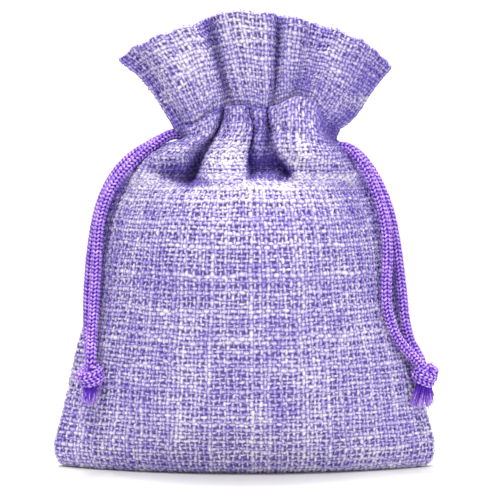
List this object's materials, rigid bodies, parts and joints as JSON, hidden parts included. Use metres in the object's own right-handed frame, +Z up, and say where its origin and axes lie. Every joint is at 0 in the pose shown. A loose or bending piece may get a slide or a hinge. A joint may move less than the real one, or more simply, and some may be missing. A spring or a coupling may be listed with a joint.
{
  "type": "lavender sachet",
  "caption": "Filled linen-look drawstring pouch with a gathered neck, a fanned frill and knotted braided drawstrings, standing on its flat bottom.",
  "frame": {"origin": "centre of the bounding box's underside, on the surface the pouch stands on, the free drawstrings left out", "axes": "+X to the right of the front, -Y towards the viewer of the front, +Z up"},
  "size_m": [0.0705, 0.0334, 0.0834],
  "materials": {
    "linen": "matte",
    "cord": "matte",
    "thread": "matte",
    "lavender": "matte"
  },
  "bodies": {
    "pouch": {"front_panel": "linen", "back_panel": "linen", "front_casing": "linen", "back_casing": "linen", "front_casing_stitch": "thread", "back_casing_stitch": "thread", "lavender_filling": "lavender", "left_loop": "cord", "right_loop": "cord"},
    "front_frill": {"front_frill": "linen"},
    "back_frill": {"back_frill": "linen"},
    "left_drawstring": {"left_front_run": "cord", "left_back_run": "cord"},
    "left_cords": {"left_front_strand": "cord", "left_back_strand": "cord", "left_knot": "cord", "left_front_tail": "cord", "left_back_tail": "cord"},
    "right_drawstring": {"right_front_run": "cord", "right_back_run": "cord"},
    "right_cords": {"right_front_strand": "cord", "right_back_strand": "cord", "right_knot": "cord", "right_front_tail": "cord", "right_back_tail": "cord"}
  },
  "joints": [
    {"name": "front_frill_fold", "type": "hinge", "parent": "pouch", "child": "front_frill", "pos_m": [0.0024, -0.0068, 0.06555], "axis": [1, 0, 0], "range_deg": [0, 35], "stiffness_Nm_per_rad": 0.0001},
    {"name": "back_frill_fold", "type": "hinge", "parent": "pouch", "child": "back_frill", "pos_m": [0.0024, 0.0068, 0.06555], "axis": [-1, 0, 0], "range_deg": [0, 35], "stiffness_Nm_per_rad": 0.0001},
    {"name": "left_pull", "type": "slide", "parent": "pouch", "child": "left_drawstring", "axis": [-1, 0, 0], "range_m": [0, 0.006]},
    {"name": "left_lift", "type": "hinge", "parent": "left_drawstring", "child": "left_cords", "pos_m": [-0.01181, 0, 0.0619], "axis": [0, 1, 0], "range_deg": [0, 60]},
    {"name": "right_pull", "type": "slide", "parent": "pouch", "child": "right_drawstring", "axis": [1, 0, 0], "range_m": [0, 0.006]},
    {"name": "right_lift", "type": "hinge", "parent": "right_drawstring", "child": "right_cords", "pos_m": [0.01714, 0, 0.0595], "axis": [0, -1, 0], "range_deg": [0, 60]}
  ]
}
